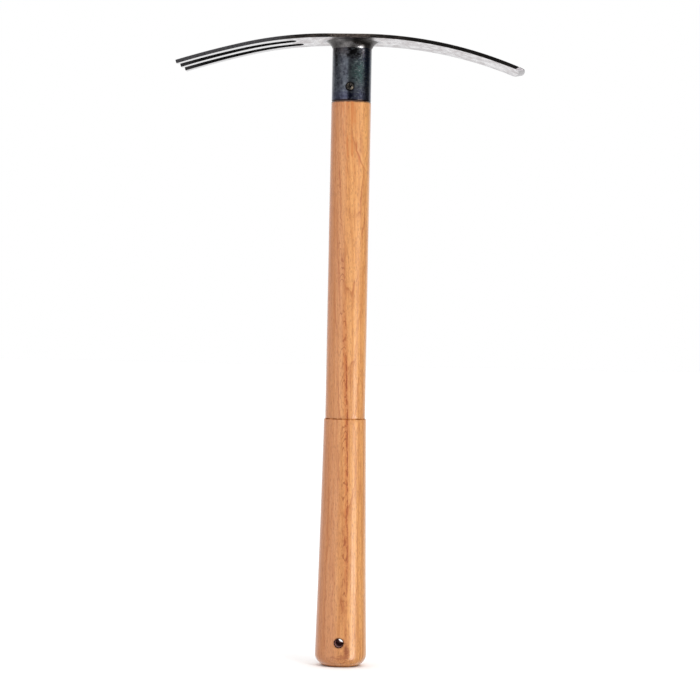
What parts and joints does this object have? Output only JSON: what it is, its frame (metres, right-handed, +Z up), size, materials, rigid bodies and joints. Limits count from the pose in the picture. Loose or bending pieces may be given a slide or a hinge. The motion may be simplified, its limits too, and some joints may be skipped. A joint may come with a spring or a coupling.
{
  "type": "short-handled double hoe",
  "caption": "Short-handled garden double hoe: a bent steel head with a broad blade on one side and tines on the other, welded to a steel socket on a turned wooden handle.",
  "frame": {"origin": "centre of the butt's flat face, at the bottom end of the handle", "axes": "+Z up the handle towards the head, +X towards the blade, -X towards the tines, the fixing screw on the -Y side"},
  "size_m": [0.2962, 0.065, 0.5376],
  "materials": {
    "head_steel": "satin ground faces with dark scaled edges",
    "blued_steel": "glossy blue-black heat-tinted steel",
    "weld_steel": "smooth dark satin weld bead",
    "handle_wood": "clear-lacquered beech",
    "screw_steel": "dark phosphated"
  },
  "bodies": {
    "root": {"head": "head_steel", "socket_tube": "blued_steel", "weld_fillet": "weld_steel", "handle": "handle_wood", "fixing_screw": "screw_steel"}
  },
  "joints": []
}
